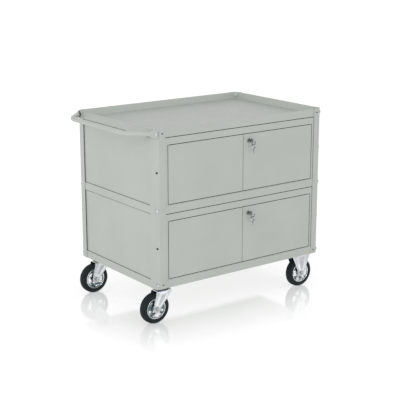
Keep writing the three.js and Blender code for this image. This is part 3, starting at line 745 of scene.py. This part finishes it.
def castor_meshes():
    axle_z = middle_mm("tyre_front_left").z
    plate_high = box_mm("swivel_plate_front_left")[1]
    trail = middle_mm("swivel_plate_front_left").x - middle_mm("tyre_front_left").x
    fork_high = box_mm("swivel_fork_front_left")[1]
    top = plate_high.z - axle_z
    crown = fork_high.z - axle_z - FORK_SHEET / 2
    bottom = top - 3
    crown_top = crown + FORK_SHEET / 2
    swivel = fork_sheet(trail - 43, trail + 44, 76, crown, trail - 40, trail + 40)
    hole = [(0, crown - 6), (8.6, crown - 6), (8.6, crown + 6), (0, crown + 6)]
    kingpin_hole = turned(hole, 32).at(trail, 0, 0)
    plate = rounded_plate(54, 42, bottom, top, trail)
    race = turned([
        (0, bottom + 1), (36, bottom + 1), (36.5, bottom - 1), (36.5, bottom - 6), (35.5, bottom - 8),
        (33, bottom - 9), (33, crown_top + 5), (30, crown_top + 1), (8, crown_top + 0.5),
        (8, crown - 1.8), (12.5, crown - 1.8), (12, crown - 4), (9, crown - 5.6), (0, crown - 6.2),
    ], 64).at(trail, 0, 0)
    # painted shade: a black ring under the swivel plate stands for the shaded fork crown
    shade_ring = turned([
        (31, crown_top + 0.6), (34.6, crown_top + 0.6), (35.4, crown_top + 2.4),
        (34.6, bottom - 8.4), (31, bottom - 8.4),
    ], 64)
    fixed = fork_sheet(-58, 58, 95, bottom - FORK_SHEET / 2, -58, 58, radius=5)
    fixed_plate = rounded_plate(58, 42, bottom, top, 0)
    return {
        "tyre": tyre_mesh(),
        "rim": rim_mesh(),
        "axle": axle_mesh(),
        "swivel_fork": fused("swivel_fork", swivel, cuts=[kingpin_hole], smooth=45),
        "swivel_head": fused("swivel_head", plate, joins=[race], bevel=0.4),
        "shade_ring": mesh_of("swivel_shade_ring", shade_ring.at(trail, 0, 0)),
        "swivel_bolts": mesh_of("swivel_bolts", plate_bolts(44, 32, trail, top), bevel=0.25),
        "fixed_fork": fused("fixed_fork", fixed, joins=[fixed_plate], smooth=45),
        "fixed_bolts": mesh_of("fixed_bolts", plate_bolts(47, 33, 0, top), bevel=0.25),
    }


# ---- locks and keys ---------------------------------------------------------------
def key_blank(length):
    """A flat key in Y and Z, thickness along X: round bow at the origin, blade towards +Y."""
    lift = Matrix(((0, 0, 1, 0), (1, 0, 0, 0), (0, 1, 0, 0), (0, 0, 0, 1)))
    bow = slab(circle(KEY_BOW_RADIUS, 48), -1.1, 1.1).moved(lift)
    neck = slab([(6, -4.5), (15.2, -4.5), (15.2, 4.5), (6, 4.5)], -1.1, 1.1).moved(lift)
    edge = [(8, -3), (length - 2, -3), (length, -1)]
    teeth = []
    cut_depths = (0.4, 1.5, 0.8, 1.9, 1.1, 0.5)
    for i, depth in enumerate(cut_depths):
        y = length - 2 - i * 2.4
        teeth += [(y, 3 - depth), (y - 1.2, 3 - depth)]
    blade = slab(edge + [(length, 1)] + teeth + [(8, 3)], -1.0, 1.0).moved(lift)
    eye = slab(circle(3.4, 24), -3, 3).moved(lift).at(0, -KEY_EYE_DROP, 0)
    groove = slab([(9, -0.5), (length + 2, -0.5), (length + 2, 0.5), (9, 0.5)], 0.6, 2).moved(lift)
    return bow, [neck, blade], [eye, groove]


def lock_body_mesh(reach):
    """Escutcheon, threaded barrel and ring nut, the door's face at 0 and the axis along +Y."""
    front = -3.3
    rose = [(5.3, front), (8.6, front), (9.6, front + 0.5), (10, front + 1.4), (10, -0.3)]
    thread = []
    for i in range(int(reach - 2.5)):
        thread += [(8, 1.6 + i), (7.4, 2.1 + i)]
    profile = rose + [(8, -0.3), (8, 1.5)] + thread + [(7.4, reach), (5.3, reach)]
    shell = turned(profile, 48)
    nut = turned([(8.05, 1.5), (12, 1.5), (12, 5.5), (8.05, 5.5)], 6)
    return mesh_of("lock_body", shell.add(nut).moved(TO_Y), smooth=30)


def plug_mesh(front, back):
    barrel = turned([(0, front + 0.2), (4.6, front), (5, front + 0.4), (5, back), (0, back)], 32).moved(TO_Y)
    lift = Matrix(((1, 0, 0, 0), (0, 0, 1, 0), (0, -1, 0, 0), (0, 0, 0, 1)))
    arm = []
    for i in range(13):
        angle = math.pi / 2 + math.pi * i / 12
        arm.append((6.5 * math.cos(angle), 6.5 * math.sin(angle)))
    arm += [(37, -6), (40.5, -4.6), (42, -2), (42, 2), (40.5, 4.6), (37, 6)]
    cam = slab(arm, back - 2.5, back).moved(lift)
    head = [(0, back - 1), (4.6, back - 1), (4.6, back + 2), (3.6, back + 2.6), (0, back + 2.8)]
    screw = turned(head, 6).moved(TO_Y)
    slit = [(-1.4, -3.3), (1.4, -3.3), (1.4, 3.3), (-1.4, 3.3)]
    slot = slab(slit, front - 2, front + 12.3).moved(lift)
    return fused("lock_plug", barrel, joins=[cam, screw], cuts=[slot], bevel=0.15)


def add_lock(level):
    body_low, body_high = box_mm(f"{level}_lock_body")
    plug_low, plug_high = box_mm(f"{level}_lock_plug_and_cam")
    key_low, key_high = box_mm(f"{level}_key")
    door_face = box_mm(f"{level}_right_door")[0].y
    centre = (body_low + body_high) / 2
    place = (centre.x, door_face, centre.z)
    door, lock = f"door_{level}_right", f"lock_{level}"
    barrel = lock_body_mesh(body_high.y - door_face)
    piece(f"{level}_lock_barrel", barrel, "nickel", door, place, (f"{level}_lock_body",))
    plug = plug_mesh(plug_low.y - door_face, plug_high.y - door_face)
    piece(f"{level}_lock_plug", plug, "nickel", lock, place, (f"{level}_lock_plug_and_cam",))
    bow_y = key_low.y + KEY_BOW_RADIUS - door_face
    bow, joins, cuts = key_blank(key_high.y - key_low.y - KEY_BOW_RADIUS)
    key = fused("key", bow, joins, cuts, bevel=0.3)
    place = (centre.x, door_face + bow_y, centre.z)
    piece(f"{level}_key_in_lock", key, "nickel", lock, place, (f"{level}_key",))
    add_spare_key(level, Vector((centre.x, key_low.y + 6.4, centre.z)), door)


def add_spare_key(level, eye, body):
    """A split ring through the key's eye, and the second key hanging on it."""
    ring_radius, wire = 11, 0.8
    shift = ring_radius / math.sqrt(2)
    middle = Vector((shift, 0, -shift))
    loop = []
    for i in range(96):
        angle = 4 * math.pi * i / 96
        rise = 0.8 * math.cos(angle / 2)
        loop.append(middle + Vector((ring_radius * math.cos(angle), rise, ring_radius * math.sin(angle))))
    ring = mesh_of("key_ring", swept(loop, wire, 10, looped=True))
    piece(f"{level}_key_ring", ring, "nickel", body, eye)
    bow, joins, cuts = key_blank(33)
    key = fused("spare_key", bow, joins, cuts, bevel=0.3)
    hang = Matrix.Rotation(math.radians(SPARE_KEY_ANGLE), 4, "Z") @ Matrix.Rotation(-math.pi / 2, 4, "X")
    drop = ring_radius + 2.6 + KEY_EYE_DROP
    place = eye + middle + Vector((0, 0, -drop))
    piece(f"{level}_spare_key", key, "nickel", body, place, turn=hang)


# ---- small fittings -----------------------------------------------------------------
def add_post_hole_shade_fills():
    """Black fills over the posts' holes, painted shade for the dark inside of each hole: ovals in the front
    and rear legs, discs in the chamfers.
    """
    oval = slab(rounded_box(4.8, 2.5, 2.4), 0, 0.5).add(slab(circle(2.3, 24), -2.2, 0.1))
    disc = turned([(0, -2.5), (3.9, -2.5), (3.9, 0), (5, 0), (4.8, 0.5), (3.6, 0.9), (0, 0.6)], 24)
    oval_mesh = mesh_of("oval_hole_shade", oval, bevel=0.15)
    disc_mesh = mesh_of("round_hole_shade", disc)
    for corner, (sx, sy) in CORNERS.items():
        edge = BODY_LOW.x if sx < 0 else BODY_HIGH.x
        face = BODY_LOW.y if sy < 0 else BODY_HIGH.y
        heights = {level: middle_mm(f"bolt_{corner}_{level}").z for level in LEVELS}
        for level in ("bottom", "top"):
            turn = TO_MINUS_Y if sy < 0 else TO_Y
            place = (edge - sx * 35, face, heights[level])
            piece(f"post_plug_{corner}_{level}", oval_mesh, "black", "cart_body", place, turn=turn)
        for name, below, above in (("lower", "bottom", "middle"), ("upper", "middle", "top")):
            turn = Vector((sx, sy, 0)).to_track_quat("Z", "Y").to_matrix().to_4x4()
            half = CORNER_CHAMFER / 2
            place = (edge - sx * half, face - sy * half, (heights[below] + heights[above]) / 2)
            piece(f"chamfer_plug_{corner}_{name}", disc_mesh, "black", "cart_body", place, turn=turn)


# ---- studio ---------------------------------------------------------------------------
def add_floor():
    """White paper that glows a little, glossy only near the cart so that reflections fade out."""
    mesh = bpy.data.meshes.new("floor")
    size = 40
    outline = [(-size, -size, 0), (size, -size, 0), (size, size, 0), (-size, size, 0)]
    mesh.from_pydata(outline, [], [(0, 1, 2, 3)])
    floor = bpy.data.objects.new("floor", mesh)
    bpy.context.scene.collection.objects.link(floor)
    n = Nodes("floor")
    middle = (BODY_MID.x * MM, BODY_MID.y * MM, 0)
    half = ((BODY_HIGH.x - BODY_LOW.x) / 2 * MM, (BODY_HIGH.y - BODY_LOW.y) / 2 * MM, 9)
    beside = n.vector("ABSOLUTE", n.vector("SUBTRACT", n.place(), middle))
    outside = n.vector("LENGTH", n.vector("MAXIMUM", n.vector("SUBTRACT", beside, half), (0, 0, 0)))
    inner = n.node("ShaderNodeSeparateXYZ", {0: n.vector("SUBTRACT", beside, (0.40, 0.24, 0))}).outputs
    rim = n.span(n.maths("MAXIMUM", inner["X"], inner["Y"]), 0.0, 1.0, 0.0, 0.06)
    sheen = n.maths("MULTIPLY", rim, n.span(outside, 0.33, 0.0, 0.0, 0.40))
    glow = n.node("ShaderNodeEmission", {"Color": (1, 1, 1, 1), "Strength": 0.67})
    matt = n.node("ShaderNodeBsdfDiffuse", {"Color": (0.43, 0.43, 0.43, 1)})
    paper = n.node("ShaderNodeAddShader", {0: glow.outputs[0], 1: matt.outputs[0]})
    gloss = n.node("ShaderNodeBsdfGlossy", {"Color": (1, 1, 1, 1), "Roughness": 0.09})
    mix = n.node("ShaderNodeMixShader", {"Fac": sheen, 1: paper.outputs[0], 2: gloss.outputs[0]})
    n.tree.links.new(mix.outputs[0], n.tree.nodes["Material Output"].inputs["Surface"])
    mesh.materials.append(n.material)


def add_world():
    """An even white tent, dimmer overhead."""
    world = bpy.data.worlds.new("studio")
    bpy.context.scene.world = world
    world.use_nodes = True
    tree = world.node_tree
    place = tree.nodes.new("ShaderNodeTexCoord")
    parts = tree.nodes.new("ShaderNodeSeparateXYZ")
    tree.links.new(place.outputs["Generated"], parts.inputs[0])
    level = tree.nodes.new("ShaderNodeMapRange")
    for socket, value in (("From Min", 0.1), ("From Max", 1.0), ("To Min", 1.02), ("To Max", 0.74)):
        level.inputs[socket].default_value = value
    tree.links.new(parts.outputs["Z"], level.inputs["Value"])
    tree.nodes["Background"].inputs["Color"].default_value = (1, 1, 1, 1)
    tree.links.new(level.outputs["Result"], tree.nodes["Background"].inputs["Strength"])


def add_light(name, place, towards, size, power):
    data = bpy.data.lights.new(name, "AREA")
    data.shape = "RECTANGLE"
    data.size, data.size_y = size
    data.energy = power
    light = bpy.data.objects.new(name, data)
    bpy.context.scene.collection.objects.link(light)
    light.location = place
    light.rotation_euler = (Vector(towards) - Vector(place)).to_track_quat("-Z", "Y").to_euler()


def add_camera():
    data = bpy.data.cameras.new("camera")
    data.lens = 94.9
    data.sensor_width = 36
    data.clip_end = 200
    camera = bpy.data.objects.new("camera", data)
    bpy.context.scene.collection.objects.link(camera)
    camera.location = (BODY_MID.x * MM - 3.0827, BODY_MID.y * MM - 4.122, 1.797)
    yaw, pitch = math.radians(36.77), math.radians(14.51)
    look = Vector((math.sin(yaw) * math.cos(pitch), math.cos(yaw) * math.cos(pitch), -math.sin(pitch)))
    camera.rotation_euler = look.to_track_quat("-Z", "Y").to_euler()
    bpy.context.scene.camera = camera


def add_studio():
    bpy.context.scene.view_settings.view_transform = "Standard"
    add_floor()
    add_world()
    add_light("left_softbox", (-3.4, -0.9, 2.2), (0, 0, 0.5), (1.6, 1.6), 16)
    add_light("strip_light", (-2.2, -3.0, 2.6), (-0.5, 0, 0.9), (0.25, 1.2), 14)
    add_light("top_softbox", (0.4, -0.6, 3.4), (0, 0, 0.5), (2.2, 1.4), 8)
    add_camera()


finish_cad_nodes()
add_corner_bolts()
add_handle()
CASTOR_MESHES = castor_meshes()
for corner_name in CORNERS:
    add_castor(corner_name)
for compartment in COMPARTMENTS:
    add_lock(compartment)
add_post_hole_shade_fills()
add_studio()
